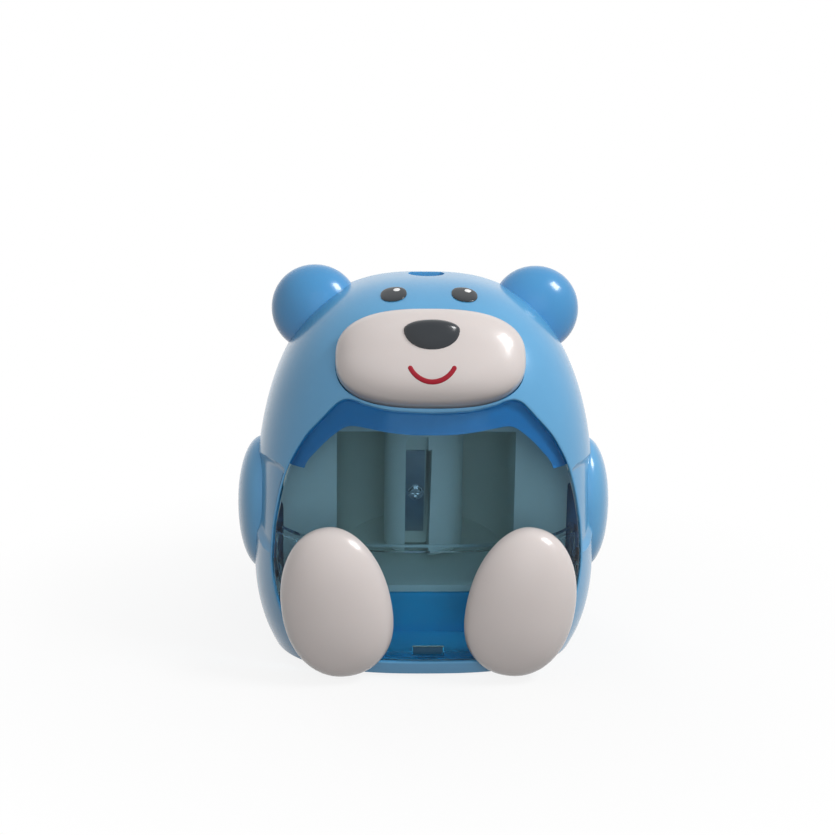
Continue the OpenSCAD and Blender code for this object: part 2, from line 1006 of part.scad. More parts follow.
module shaft_clip() {
    color([0.45, 0.46, 0.48])
        translate([0, 0, crank_z])
            along_y(bracket_y + bracket_t + 0.3, bracket_y + bracket_t + 1.2)
                difference() {
                    circle(shaft_r + 2);
                    circle(shaft_r - 0.5 + EPS);
                    translate([-1.6, -9])
                        square([3.2, 9]);
                }
}

module gear_bracket() {
    color([0.90, 0.88, 0.80])
        difference() {
            union() {
                along_y(bracket_y, bracket_y + bracket_t) {
                    translate([-8, frame_top + 0.1])
                        square([16, crank_z - frame_top - 0.1]);
                    translate([0, crank_z])
                        circle(8);
                }
                translate([-12, bracket_y, frame_top + 0.1])
                    cube([24, 11, 2.4]);
            }
            translate([0, 0, crank_z])
                along_y(0, 40)
                    circle(shaft_r + run_gap);
            both_sides()
                translate([bracket_bolt[0], bracket_bolt[1], plate_z])
                    cylinder(r = 1.35, h = 20);
        }
}

module bracket_screws() {
    color([0.70, 0.71, 0.73])
        both_sides()
            translate([bracket_bolt[0], bracket_bolt[1], frame_top + 2.55])
                rotate([180, 0, 0])
                    bolt(2.1, 1.4, 1, 4.8);
}

module shaft_bush() {
    color([0.80, 0.66, 0.36])
        translate([0, 0, crank_z])
            difference() {
                union() {
                    along_y(bush_y, boss_end_y + 0.6)
                        circle(bush_r);
                    along_y(boss_end_y + 0.05, boss_end_y + 0.9)
                        circle(7.2);
                }
                along_y(20, half_d + 20)
                    circle(shaft_r + run_gap);
            }
}

module crank_arm() {
    color([0.30, 0.62, 0.88])
        translate([0, 0, crank_z])
            difference() {
                along_y(arm_y, arm_y + arm_t) {
                    circle(7.5);
                    translate([-4.6, -crank_len])
                        square([9.2, crank_len]);
                    translate([0, -crank_len])
                        circle(6.4);
                }
                along_y(arm_y - 5, arm_y + 15)
                    difference() {
                        circle(shaft_r + EPS);
                        translate([-5, 2.32])
                            square([10, 5]);
                    }
                translate([0, 0, -crank_len])
                    along_y(arm_y - 5, arm_y + 15)
                        circle(pin_r + EPS);
            }
}

module crank_screw() {
    color([0.70, 0.71, 0.73])
        translate([0, arm_y + arm_t + 0.03, crank_z])
            rotate([90, 0, 0])
                bolt(3.4, 1.6, 1.2, 11);
}

module crank_knob() {
    y0 = arm_y + arm_t + 0.4;
    color([0.95, 0.94, 0.93])
        translate([0, y0, crank_z - crank_len])
            rotate([-90, 0, 0])
                difference() {
                    union() {
                        cylinder(r1 = knob_r - 1.2, r2 = knob_r - 0.4, h = 1);
                        translate([0, 0, 1])
                            cylinder(r1 = knob_r - 0.4, r2 = knob_r, h = knob_l - 3.5);
                        translate([0, 0, knob_l - 2.5])
                            cylinder(r1 = knob_r, r2 = knob_r - 0.7, h = 1.5);
                        translate([0, 0, knob_l - 1])
                            cylinder(r1 = knob_r - 0.7, r2 = knob_r - 2, h = 1);
                    }
                    translate([0, 0, -1])
                        cylinder(r = pin_r + run_gap, h = knob_l + 2);
                    translate([0, 0, knob_l - 2])
                        cylinder(r = 3.7, h = 4);
                }
}

module knob_pin() {
    y0 = arm_y + arm_t + 0.4;
    color([0.72, 0.73, 0.75])
        translate([0, 0, crank_z - crank_len]) {
            along_y(arm_y + 0.3, y0 + knob_l - 1)
                circle(pin_r);
            along_y(y0 + knob_l - 1.6, y0 + knob_l - 0.4)
                circle(3.3);
        }
}

module pencil_guide() {
    color([0.28, 0.58, 0.85])
        difference() {
            union() {
                intersection() {
                    body_form(wall * 0.6, rim_z);
                    translate([0, axis_y, neck_end_z + 0.5])
                        cylinder(r = crown_hole_r - 0.08, h = 40);
                }
                intersection() {
                    body_form(wall + 0.1, rim_z);
                    translate([0, axis_y, body_h - wall - 3.2])
                        cylinder(r = 9.3, h = 10);
                }
            }
            translate([0, axis_y, neck_end_z])
                cylinder(r = pencil_r, h = 60);
            translate([0, axis_y, body_h - 5])
                cylinder(r1 = pencil_r, r2 = crown_hole_r - 0.4, h = 4);
        }
}

module shell_screws() {
    color([0.70, 0.71, 0.73])
        for (b = shell_bolts)
            both_sides()
                translate([b[0], bolt_seat_y - 0.03, b[1]])
                    rotate([90, 0, 0])
                        translate([0, 0, -0.06])
                            bolt(2.8, 1.8, 1.2, 14);
}

module base_screws() {
    color([0.70, 0.71, 0.73])
        for (b = base_bolts)
            both_sides()
                translate([b[0], b[1], screw_seat_z - 0.03])
                    bolt(2.7, 1.4, 1.2, 9.5);
}

module rubber_pads() {
    color([0.13, 0.13, 0.14])
        for (p = pad_spots)
            both_sides()
                translate([p[0], p[1], 0])
                    cylinder(r = pad_r, h = pad_t);
}

front_shell();
rear_shell();
base_plate();
left_ear();
right_ear();
left_arm();
right_arm();
muzzle();
nose();
smile();
left_eye();
right_eye();
drawer_window();
drawer_tray();
catch_insert();
left_foot();
right_foot();
mechanism_frame();
cutter_holder();
blade();
blade_screw();
head_gear();
thrust_washer();
crank_gear();
crank_shaft();
shaft_clip();
gear_bracket();
bracket_screws();
shaft_bush();
crank_arm();
crank_screw();
crank_knob();
knob_pin();
pencil_guide();
shell_screws();
base_screws();
rubber_pads();
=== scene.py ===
import math

import bmesh
import bpy
import numpy as np
from mathutils import Matrix, Vector

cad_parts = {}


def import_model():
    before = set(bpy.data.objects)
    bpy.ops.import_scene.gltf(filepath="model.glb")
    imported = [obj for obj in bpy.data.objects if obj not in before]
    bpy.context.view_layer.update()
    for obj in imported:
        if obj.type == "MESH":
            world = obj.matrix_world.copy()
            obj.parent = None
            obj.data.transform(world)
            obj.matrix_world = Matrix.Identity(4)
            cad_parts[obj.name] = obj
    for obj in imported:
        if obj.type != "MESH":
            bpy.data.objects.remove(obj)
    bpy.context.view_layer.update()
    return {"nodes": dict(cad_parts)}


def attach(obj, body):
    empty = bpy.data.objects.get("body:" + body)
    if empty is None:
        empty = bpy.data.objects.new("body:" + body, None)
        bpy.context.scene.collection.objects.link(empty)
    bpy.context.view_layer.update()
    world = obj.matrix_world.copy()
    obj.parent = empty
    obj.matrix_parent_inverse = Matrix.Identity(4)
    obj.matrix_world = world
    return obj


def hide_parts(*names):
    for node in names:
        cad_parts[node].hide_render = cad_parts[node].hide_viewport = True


MM = 0.001

# Camera, in metres, with its roll in radians and its lens in millimetres.
CAMERA_AT = (-0.02166, -0.47416, 0.18724)
CAMERA_LOOK = (-0.00212, 0, 0.06545)
CAMERA_ROLL = 0.0132
CAMERA_LENS = 71.8

# Body form, in millimetres, as the frame has it.
HALF_W = 50
HALF_D = 43
TOP_Z = 107.9
BELLY_Z = 26
BELLY_DROP = 47.6
FORM_N = 2.6
CROWN_N = 2.7
BASE_N = 2.27
WALL = 2.4
SPLIT_Y = 6
RIM_Z = 0.8
AXIS_Y = 3
SHAFT_Z = 85.9
SEAM_HALF = 0.1
EDGE_R = 0.7
HOLE_R = 5.25

# Finger recess right of the window, in x and z; the left one mirrors it. It fades out toward its edge.
RECESS_AT = (44, 45.8)
RECESS_HALF_W = 5.6
RECESS_HALF_H = 13.5
RECESS_DEPTH = 1.2
RECESS_FADE = 0.5
RECESS_X = (40.2, 49.9)

# Reach of the boolean tools: past the part, under it, from inside the hollow, and a hair past a face.
FAR = 150
UNDER_Z = -2
INSIDE_Y = 20
INSIDE_Z = 90
HAIR = 0.01

# Outline of the window opening and of the lip behind it, right half, from the middle down (x, z).
WINDOW = [(0, 76.3), (6, 76.5), (11.5, 76.9), (17.6, 78.1), (20, 78.9), (22.7, 79.2), (25, 78.3),
          (27, 76.4), (30.5, 72.5), (33.5, 69), (36, 65), (38.6, 59.7), (40.7, 53), (42.3, 45.6),
          (43.2, 39.5), (43.8, 31), (43.3, 25), (42.3, 20), (40.3, 14.3), (37.6, 8.8), (36.2, 6.2),
          (34.6, 5)]
LIP = [(0, 70.1), (6, 70.2), (12.2, 70.8), (18, 71.7), (22.3, 71.8), (26, 69.4), (30.5, 64.8),
       (34.3, 59), (34.3, 50)]
LIP_GAP = 0.3
LIP_T = 1.8
LIP_LOW_Z = 59
LIP_LAP = 3

# Muzzle, with its nose and smile placed as if it stood upright, then ears, arms, feet and eyes.
MUZZLE_Z = 89.8
MUZZLE_LEAN = 30.8
MUZZLE_SIZE = (26, 9.0, 13.8)
MUZZLE_N = 2.6
MUZZLE_SINK = 2.4
MUZZLE_GAP = 0.35
NOSE_SIZE = (7.6, 2.6, 2.9)
NOSE_DOWN = 5.9
NOSE_N = 2.1
NOSE_AT = (0, -8.3, 5.4)
SMILE_R = 6.6
SMILE_Z = -2.4
SMILE_HALF_SPAN = 63
SMILE_STROKE = 1.3
SMILE_RISE = 0.12
FOOT_X = 25.4
FOOT_Z = 23
FOOT_SIZE = (15.5, 8.4, 21.8)
FOOT_LEAN = 10
FOOT_N = 2.13
FOOT_TAPER = 0.06
FOOT_RISE = 0.5
FOOT_GAP = 0.35
EAR_X = 32.2
EAR_SIZE = (12.7, 9.6, 12.7)
EAR_N = 2.05
EAR_SINK = 0.4
ARM_Z = 39.6
ARM_SIZE = (7.6, 15, 20)
ARM_N = 2.1
ARM_SINK = 2.5
EYE_X = 9.9
EYE_Y = -16.5
EYE_SIZE = (3.65, 3.65, 0.55)
EYE_DOWN = 0.4
EYE_N = 2.3
DOT_SIZE = (0.95, 0.8, 0.16)
DOT_AT = (0.9, 1.4, 0.52)

# Drawer: clear front wall with the catch's slot, and the tray behind it, lower toward its back.
WINDOW_T = 1.8
PANE_EDGE_R = 0.35
PANE_MIDDLE_Z = 41
SLOT_HALF_W = 4.4
SLOT_Z = (7.1, 10)
DRAWER_GAP = 0.4
TRAY_GAP = 0.3
TRAY_T = 1.6
TRAY_BACK_Y = -15.2
TRAY_FLOOR_Z = 5.5
TRAY_RIM_Z = 39
TRAY_RIM_H = 1.8
TRAY_RIM_W = 3.1
TRAY_BACK_Z = 15.5
TRAY_SIDE_Z = 27.5
BAY_HALF_W = 38.5

# Rear half, and the crank with its knob's half section (radius, distance out along the pin).
BOSS_R = 9
BOSS_Y = (27.4, 43.5)
BUSH_HOLE_R = 5.02
BOLT_HOLE_R = 3.1
BOLT_HOLES = [(37, 20), (27, 83.9)]
CRANK_LEN = 34
CRANK_ARM_Y = 45.2
CRANK_ARM_T = 4.5
KNOB_GAP = 0.4
KNOB_PROFILE = [(2.08, 0), (4.9, 0), (5.5, 0.35), (5.9, 1.2), (5.95, 3), (6.1, 7), (6.35, 11), (6.5, 14),
                (6.5, 15.4), (6.2, 16.6), (5.4, 17.5), (4.4, 17.95), (3.8, 17.8), (3.7, 17.2), (3.7, 16),
                (2.08, 16)]


def srgb(r, g, b):
    """A colour written 0 to 255 as on a screen, turned linear for a shader."""
    shares = [c / 255 for c in (r, g, b)]
    return tuple(c / 12.92 if c <= 0.04045 else ((c + 0.055) / 1.055) ** 2.4 for c in shares) + (1,)


# Camera

def make_camera():
    at = Vector(CAMERA_AT)
    data = bpy.data.cameras.new("camera")
    cam = bpy.data.objects.new("camera", data)
    bpy.context.scene.collection.objects.link(cam)
    forward = (Vector(CAMERA_LOOK) - at).normalized()
    right = forward.cross(Vector((0, 0, 1))).normalized()
    up = right.cross(forward)
    right, up = (math.cos(CAMERA_ROLL) * right + math.sin(CAMERA_ROLL) * up,
                 -math.sin(CAMERA_ROLL) * right + math.cos(CAMERA_ROLL) * up)
    turn = Matrix((right, up, -forward)).transposed()
    cam.matrix_world = Matrix.Translation(at) @ turn.to_4x4()
    data.lens = CAMERA_LENS
    data.sensor_width = 36
    data.clip_start = 0.01
    bpy.context.scene.camera = cam


make_camera()
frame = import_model()
NODES = frame["nodes"]


# Forms

def spow(v, p):
    """Power that keeps the sign."""
    return np.sign(v) * np.abs(v) ** p


def half_sizes(z, inset):
    """Half width and half depth of the body form at a height, at a distance under its surface."""
    z = np.asarray(z, float)
    rise = TOP_Z - BELLY_Z - inset
    up = np.clip(1 - (np.clip(z - BELLY_Z, 0, None) / rise) ** CROWN_N, 0, 1) ** (1 / CROWN_N)
    low = (1 - (np.clip(BELLY_Z - z, 0, None) / BELLY_DROP) ** BASE_N) ** (1 / BASE_N)
    a = np.where(z > BELLY_Z, (HALF_W - inset) * up, HALF_W * low - inset)
    b = np.where(z > BELLY_Z, (HALF_D - inset) * up, HALF_D * low - inset)
    return a, b


def front_y(x, z, inset=0.0):
    """Where the front of the body form lies at a width and a height."""
    a, b = half_sizes(z, inset)
    return -b * np.clip(1 - np.clip(np.abs(x) / np.maximum(a, 1e-6), 0, 1) ** FORM_N, 0, 1) ** (1 / FORM_N)


def top_z(x, y):
    """Where the crown of the body form lies over a point."""
    r = ((abs(x) / HALF_W) ** FORM_N + (abs(y) / HALF_D) ** FORM_N) ** (1 / FORM_N)
    return BELLY_Z + (TOP_Z - BELLY_Z) * (1 - r ** CROWN_N) ** (1 / CROWN_N)


def form_normal(p):
    """Outward normal of the body form near a surface point, in millimetres."""
    x, y, z = p
    reach, n = (TOP_Z - BELLY_Z, CROWN_N) if z > BELLY_Z else (BELLY_DROP, BASE_N)
    around = (abs(x) / HALF_W) ** FORM_N + (abs(y) / HALF_D) ** FORM_N
    lift = max(around, 1e-9) ** (n / FORM_N - 1)
    g = Vector((lift * math.copysign(abs(x / HALF_W) ** (FORM_N - 1) / HALF_W, x),
                lift * math.copysign(abs(y / HALF_D) ** (FORM_N - 1) / HALF_D, y),
                math.copysign(abs((z - BELLY_Z) / reach) ** (n - 1) / reach, z - BELLY_Z)))
    return g.normalized()


def on_form(p):
    """Whether a point lies on the outer surface of the body form."""
    a, b = half_sizes(p.z, 0)
    return abs((abs(p.x) / a) ** FORM_N + (abs(p.y) / b) ** FORM_N - 1) < 0.002


def form_point(z, inset, turn):
    """Point of the front of the body form, by its height, its depth and its turn from the side."""
    a, b = half_sizes(z, inset)
    return float(a) * math.cos(turn) ** (2 / FORM_N), -float(b) * math.sin(turn) ** (2 / FORM_N), z


def grid_mesh(name, rows, close_rows=False, cap=False):
    """A mesh from rows of points in millimetres; each row closes on itself."""
    k = len(rows[0])
    verts = [tuple(c * MM for c in p) for row in rows for p in row]
    faces = []
    m = len(rows)
    for j in range(m if close_rows else m - 1):
        j2 = (j + 1) % m
        for i in range(k):
            i2 = (i + 1) % k
            faces.append((j * k + i, j * k + i2, j2 * k + i2, j2 * k + i))
    if cap:
        faces.append(tuple(range(k - 1, -1, -1)))
        faces.append(tuple((m - 1) * k + i for i in range(k)))
    mesh = bpy.data.meshes.new(name)
    mesh.from_pydata(verts, [], faces)
    bm = bmesh.new()
    bm.from_mesh(mesh)
    bmesh.ops.recalc_face_normals(bm, faces=bm.faces)
    bm.to_mesh(mesh)
    bm.free()
    for poly in mesh.polygons:
        poly.use_smooth = True
    obj = bpy.data.objects.new(name, mesh)
    bpy.context.scene.collection.objects.link(obj)
    return obj


def oval(a, b, z, n, k):
    """Level ring of a superellipse."""
    t = np.arange(k) * 2 * math.pi / k
    return [(a * spow(math.cos(s), 2 / n), b * spow(math.sin(s), 2 / n), z) for s in t]


def body_form(name, inset, low, k=180):
    """The closed body form, at a distance under its surface, from a height up."""
    heights = list(np.linspace(low, BELLY_Z, 22)[:-1])
    rise = TOP_Z - BELLY_Z - inset
    turns = np.radians(np.linspace(0, 89.2, 78))
    heights += [BELLY_Z + rise * math.sin(f) ** (2 / CROWN_N) for f in turns]
    rows = []
    for z in heights:
        a, b = half_sizes(z, inset)
        rows.append(oval(float(a), float(b), z, FORM_N, k))
    return grid_mesh(name, rows, cap=True)


def pillow(name, size, n, down=None, k=96, m=30, slim=0.0):
    """A rounded pad with half sizes (x, y, up), another one down where given; slim narrows its top."""
    a, b, up = size
    down = up if down is None else down
    rows = []
    for f in np.radians(np.linspace(-88.5, 88.5, 2 * m + 1)):
        c = math.cos(f) ** (2 / n)
        w = float(spow(math.sin(f), 2 / n))
        rows.append(oval(a * c * (1 - slim * w), b * c, (up if f > 0 else down) * w, n, k))
    return grid_mesh(name, rows, cap=True)


def place(obj, at=(0, 0, 0), turn=(0, 0, 0), mirror=False):
    """Bakes a place in millimetres and a turn in degrees into the mesh."""
    m = Matrix.Translation(Vector(at) * MM)
    for angle, axis in zip(turn, "XYZ"):
        m = m @ Matrix.Rotation(math.radians(angle), 4, axis)
    if mirror:
        m = Matrix.Diagonal((-1, 1, 1, 1)) @ m
    obj.data.transform(m)
    if mirror:
        obj.data.flip_normals()
    return obj


def smooth_line(points, steps):
    """Catmull-Rom curve through 2-D points."""
    p = [np.array(q, float) for q in points]
    p = [2 * p[0] - p[1]] + p + [2 * p[-1] - p[-2]]
    out = []
    for i in range(1, len(p) - 2):
        for s in np.arange(steps) / steps:
            a, b, c, d = p[i - 1:i + 3]
            out.append(0.5 * (2 * b + (c - a) * s + (2 * a - 5 * b + 4 * c - d) * s * s
                              + (3 * b - a - 3 * c + d) * s ** 3))
    out.append(p[-2])
    return out


def half_curve(points, steps=6):
    """Smooth right half of an outline; three mirrored points lead the curve level over the middle."""
    return smooth_line([(-x, z) for x, z in points[3:0:-1]] + points, steps)[3 * steps:]


def window_loop():
    """Closed loop of the window outline, from the middle of the top round the right side."""
    right = half_curve(WINDOW)
    bottom = [np.array((x, WINDOW[-1][1])) for x in np.linspace(WINDOW[-1][0], 0, 24)[1:]]
    right = right + bottom
    left = [np.array((-q[0], q[1])) for q in right[-2:0:-1]]
    return right + left


def grow_loop(loop, distance):
    """The closed loop moved outward by a distance."""
    pts = np.array(loop)
    nxt = np.roll(pts, -1, 0) - pts
    prv = pts - np.roll(pts, 1, 0)
    nxt /= np.linalg.norm(nxt, axis=1)[:, None]
    prv /= np.linalg.norm(prv, axis=1)[:, None]
    tan = nxt + prv
    tan /= np.linalg.norm(tan, axis=1)[:, None]
    out = np.stack([-tan[:, 1], tan[:, 0]], 1)
    side = np.stack([-nxt[:, 1], nxt[:, 0]], 1)
    stretch = 1 / np.maximum(np.abs((out * side).sum(1)), 0.7)
    return pts + out * (distance * stretch)[:, None]


def prism(name, loop, front, back):
    """A closed block with an outline in x and z, from one y to another."""
    return grid_mesh(name, [[(q[0], y, q[1]) for q in loop] for y in (front, back)], cap=True)


def block(name, low, high):
    rows = [[(low[0], low[1], z), (high[0], low[1], z), (high[0], high[1], z), (low[0], high[1], z)]
            for z in (low[2], high[2])]
    return grid_mesh(name, rows, cap=True)


def rod(name, r, low, high, k=64):
    turns = [2 * math.pi * i / k for i in range(k)]
    rows = [[(r * math.cos(t), r * math.sin(t), z) for t in turns] for z in (low, high)]
    return grid_mesh(name, rows, cap=True)


def combine(obj, tool, how):
    """Applies a boolean and deletes the tool."""
    mod = obj.modifiers.new("cut", "BOOLEAN")
    mod.operation = how
    mod.solver = "MANIFOLD"
    mod.object = tool
    graph = bpy.context.evaluated_depsgraph_get()
    made = bpy.data.meshes.new_from_object(obj.evaluated_get(graph))
    obj.modifiers.clear()
    old = obj.data
    obj.data = made
    bpy.data.meshes.remove(old)
    bpy.data.objects.remove(tool)
    return obj


def cut(obj, tool):
    return combine(obj, tool, "DIFFERENCE")


def keep(obj, tool):
    return combine(obj, tool, "INTERSECT")


def merge(obj, tool):
    return combine(obj, tool, "UNION")


def soften(obj, angle=32, form=False):
    """Smooth shading with hard edges past an angle; on the body form the true normals are used."""
    mesh = obj.data
    for poly in mesh.polygons:
        poly.use_smooth = True
    mesh.set_sharp_from_angle(angle=math.radians(angle))
    if form:
        normals = []
        corner = [n.vector.copy() for n in mesh.corner_normals]
        for poly in mesh.polygons:
            for li in poly.loop_indices:
                p = mesh.vertices[mesh.loops[li].vertex_index].co / MM
                want = form_normal(p)
                fits = on_form(p) and want.dot(poly.normal) > 0.985
                normals.append((li, want if fits else corner[li]))
        normals.sort(key=lambda q: q[0])
        mesh.normals_split_custom_set([n for _, n in normals])
    return obj


# Materials

def new_material(name):
    mat = bpy.data.materials.new(name)
    mat.use_nodes = True
    return mat, mat.node_tree.nodes, mat.node_tree.links, mat.node_tree.nodes["Principled BSDF"]


def vary(nodes, links, shader, color, scale, spread):
    """Faint uneven pigment: the colour moves a little over the surface."""
    coord = nodes.new("ShaderNodeTexCoord")
    noise = nodes.new("ShaderNodeTexNoise")
    noise.inputs["Scale"].default_value = scale
    noise.inputs["Detail"].default_value = 4
    links.new(coord.outputs["Object"], noise.inputs["Vector"])
    ramp = nodes.new("ShaderNodeValToRGB")
    ramp.color_ramp.elements[0].position = 0.3
    ramp.color_ramp.elements[1].position = 0.7
    ramp.color_ramp.elements[0].color = tuple(c * (1 - spread) for c in color[:3]) + (1,)
    ramp.color_ramp.elements[1].color = tuple(min(1, c * (1 + spread)) for c in color[:3]) + (1,)
    links.new(noise.outputs["Fac"], ramp.inputs["Fac"])
    links.new(ramp.outputs["Color"], shader.inputs["Base Color"])
    return coord


def grain(nodes, links, shader, coord, scale, depth, stretch=(1, 1, 1)):
    """Fine surface relief from moulding or grinding."""
    mapping = nodes.new("ShaderNodeMapping")
    mapping.inputs["Scale"].default_value = stretch
    noise = nodes.new("ShaderNodeTexNoise")
    noise.inputs["Scale"].default_value = scale
    noise.inputs["Detail"].default_value = 3
    bump = nodes.new("ShaderNodeBump")
    bump.inputs["Distance"].default_value = depth * MM
    bump.inputs["Strength"].default_value = 0.35
    links.new(coord.outputs["Object"], mapping.inputs["Vector"])
    links.new(mapping.outputs["Vector"], noise.inputs["Vector"])
    links.new(noise.outputs["Fac"], bump.inputs["Height"])
    links.new(bump.outputs["Normal"], shader.inputs["Normal"])


def plastic(name, color, rough, coat=0.0, relief=0.02, relief_scale=900, spread=0.03, glow=0.0):
    mat, nodes, links, shader = new_material(name)
    coord = vary(nodes, links, shader, color, 60, spread)
    grain(nodes, links, shader, coord, relief_scale, relief)
    shader.inputs["Roughness"].default_value = rough
    shader.inputs["Coat Weight"].default_value = coat
    shader.inputs["Coat Roughness"].default_value = 0.08
    shader.inputs["IOR"].default_value = 1.48
    if glow:
        shader.inputs["Subsurface Weight"].default_value = glow
        shader.inputs["Subsurface Radius"].default_value = (0.004, 0.003, 0.0025)
        shader.inputs["Subsurface Scale"].default_value = 0.6
    return mat


def steel(name, color, rough, stretch, scale=500, relief=0.03):
    mat, nodes, links, shader = new_material(name)
    coord = vary(nodes, links, shader, color, 300, 0.06)
    grain(nodes, links, shader, coord, scale, relief, stretch)
    shader.inputs["Metallic"].default_value = 1
    shader.inputs["Roughness"].default_value = rough
    return mat


def clear(name, tint, shade_tint):
    """Tinted clear plastic that lets lamp light through to what is behind it."""
    mat, nodes, links, shader = new_material(name)
    coord = vary(nodes, links, shader, tint, 40, 0.015)
    grain(nodes, links, shader, coord, 60, 0.01)
    shader.inputs["Transmission Weight"].default_value = 1
    shader.inputs["Roughness"].default_value = 0.02
    shader.inputs["IOR"].default_value = 1.15
    through = nodes.new("ShaderNodeBsdfTransparent")
    through.inputs["Color"].default_value = shade_tint
    path = nodes.new("ShaderNodeLightPath")
    mix = nodes.new("ShaderNodeMixShader")
    links.new(path.outputs["Is Shadow Ray"], mix.inputs["Fac"])
    links.new(shader.outputs["BSDF"], mix.inputs[1])
    links.new(through.outputs["BSDF"], mix.inputs[2])
    links.new(mix.outputs["Shader"], nodes["Material Output"].inputs["Surface"])
    return mat


BLUE = plastic("blue_plastic", srgb(94, 166, 213), 0.22, coat=0.25, glow=0.06)
# Painted light: a brighter, bolder copy of the body blue for the base plate and the pencil guide, making up
# for the dim light inside the body.
BRIGHTENED_BLUE = plastic("brightened_blue", srgb(54, 192, 244), 0.4)
# Painted shade: a darker copy of the body blue, for the ears and for the lip seen through the window.
SHADED_BLUE = plastic("shaded_blue", srgb(66, 148, 204), 0.22, coat=0.25, glow=0.06)
WHITE = plastic("white_plastic", srgb(220, 211, 208), 0.26, coat=0.25, spread=0.012, glow=0.1)
DARK = plastic("dark_plastic", srgb(30, 37, 44), 0.22, coat=0.2)
RED = plastic("red_print", srgb(158, 2, 34), 0.5)
GLINT = plastic("white_print", srgb(246, 246, 246), 0.3, spread=0.01)
CREAM = plastic("cream_plastic", srgb(232, 234, 222), 0.42, spread=0.02, relief=0.03)
GEAR = plastic("gear_plastic", srgb(235, 234, 226), 0.38, spread=0.02)
# Painted shade: the dark colour of the catch insert is the shade seen inside the slot.
SLOT_SHADE = plastic("slot_shade_plastic", srgb(18, 70, 98), 0.5)
RUBBER = plastic("pad_rubber", srgb(40, 40, 42), 0.75, relief=0.06, relief_scale=1600)
BLADE = steel("blade_steel", srgb(176, 180, 184), 0.3, (1, 1, 12), scale=900)
SCREW = steel("screw_steel", srgb(222, 222, 220), 0.16, (1, 1, 1))
SHAFT = steel("shaft_steel", srgb(190, 192, 196), 0.25, (10, 1, 10), scale=400)
BUSH = steel("bush_bronze", srgb(190, 150, 88), 0.35, (1, 1, 1), scale=1500)
CLEAR = clear("clear_tint", srgb(148, 172, 186), srgb(218, 230, 235))
TRAY = clear("tray_tint", srgb(248, 253, 254), srgb(254, 254, 254))


def dress(obj, mat, body, slot, *nodes):
    """Gives a piece its material and body, and says which CAD nodes it stands for. The slot argument is not
    used.
    """
    obj.data.materials.clear()
    obj.data.materials.append(mat)
    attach(obj, body)
    if nodes:
        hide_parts(*nodes)
    return obj


def paint(mat, *names):
    """Gives a material to CAD nodes that are shown as they are."""
    for name in names:
        slots = NODES[name].data.materials
        slots.clear()
        slots.append(mat)


# Places on the body form

MUZZLE_AT = (0, float(front_y(0, MUZZLE_Z)) + MUZZLE_SINK, MUZZLE_Z)
FOOT_AT = (FOOT_X, float(front_y(FOOT_X, FOOT_Z)) - FOOT_RISE, FOOT_Z)
EAR_AT = (EAR_X, SPLIT_Y, top_z(EAR_X, SPLIT_Y) - EAR_SINK)
ARM_AT = (float(half_sizes(ARM_Z, 0)[0]) - ARM_SINK, 0, ARM_Z)
EYE_AT = (EYE_X, EYE_Y, top_z(EYE_X, EYE_Y))
EYE_NORMAL = form_normal(EYE_AT)
EYE_TURN = (math.degrees(math.asin(-EYE_NORMAL.y)),
            math.degrees(math.atan2(EYE_NORMAL.x, EYE_NORMAL.z)), 0)


def on_muzzle(obj):
    """Moves a piece from the muzzle's own place and upright stance to its place on the body."""
    return place(obj, MUZZLE_AT, (-MUZZLE_LEAN, 0, 0))


# Shells

def scoop(mirror):
    """Tool for a finger recess beside the opening: a dish that fades out at its edges."""
    x_mid, z_mid = RECESS_AT
    clear_of_form = -2.5
    off_the_dish = -0.05
    rows = []
    for z in np.linspace(z_mid - RECESS_HALF_H - 1, z_mid + RECESS_HALF_H + 1, 57):
        half_w = float(half_sizes(z, 0)[0])
        dish = []
        for x in np.linspace(*RECESS_X, 45):
            turn = math.acos(min(1, (x / half_w) ** (FORM_N / 2)))
            edge = abs((x - x_mid) / RECESS_HALF_W) ** 3 + abs((z - z_mid) / RECESS_HALF_H) ** 4
            depth = RECESS_DEPTH * min(1, (1 - edge) / RECESS_FADE) if edge < 1 else off_the_dish
            dish.append((turn, depth))
        under = [form_point(z, depth, turn) for turn, depth in dish]
        rows.append(under + [form_point(z, clear_of_form, turn) for turn, _ in dish[::-1]])
    return place(grid_mesh("scoop", rows, cap=True), mirror=mirror)


def edge_strip(name, loop, radius, depth):
    """The rounded edge of an opening: from the outer surface over a quarter round and down its wall."""
    turns = np.radians(np.linspace(0, 90, 7))
    profile = [(radius * (1 - math.sin(t)), radius * (1 - math.cos(t))) for t in turns] + [(0, depth)]
    rows = []
    for away, deep in profile:
        ring = grow_loop(loop, away)
        rows.append([(q[0], float(front_y(q[0], q[1], deep)), q[1]) for q in ring])
    return grid_mesh(name, rows)


def front_shell():
    shell = body_form("front_shell_skin", 0, RIM_Z)
    cut(shell, body_form("inside", WALL, UNDER_Z))
    cut(shell, prism("opening", grow_loop(window_loop(), EDGE_R), -FAR, 0))
    for mirror in (True, False):
        cut(shell, scoop(mirror))
    cut(shell, block("rear_half", (-FAR, SPLIT_Y - SEAM_HALF, -FAR), (FAR, FAR, FAR)))
    cut(shell, place(rod("hole", HOLE_R, INSIDE_Z, FAR), (0, AXIS_Y, 0)))
    seat = pillow("seat", [size + MUZZLE_GAP for size in MUZZLE_SIZE], MUZZLE_N)
    cut(shell, on_muzzle(seat))
    soften(shell, form=True)
    dress(shell, BLUE, "housing", "body_plastic", "front_shell")
    edge = soften(edge_strip("window_edge", window_loop(), EDGE_R, WALL), 60)
    dress(edge, BLUE, "housing", "body_plastic")


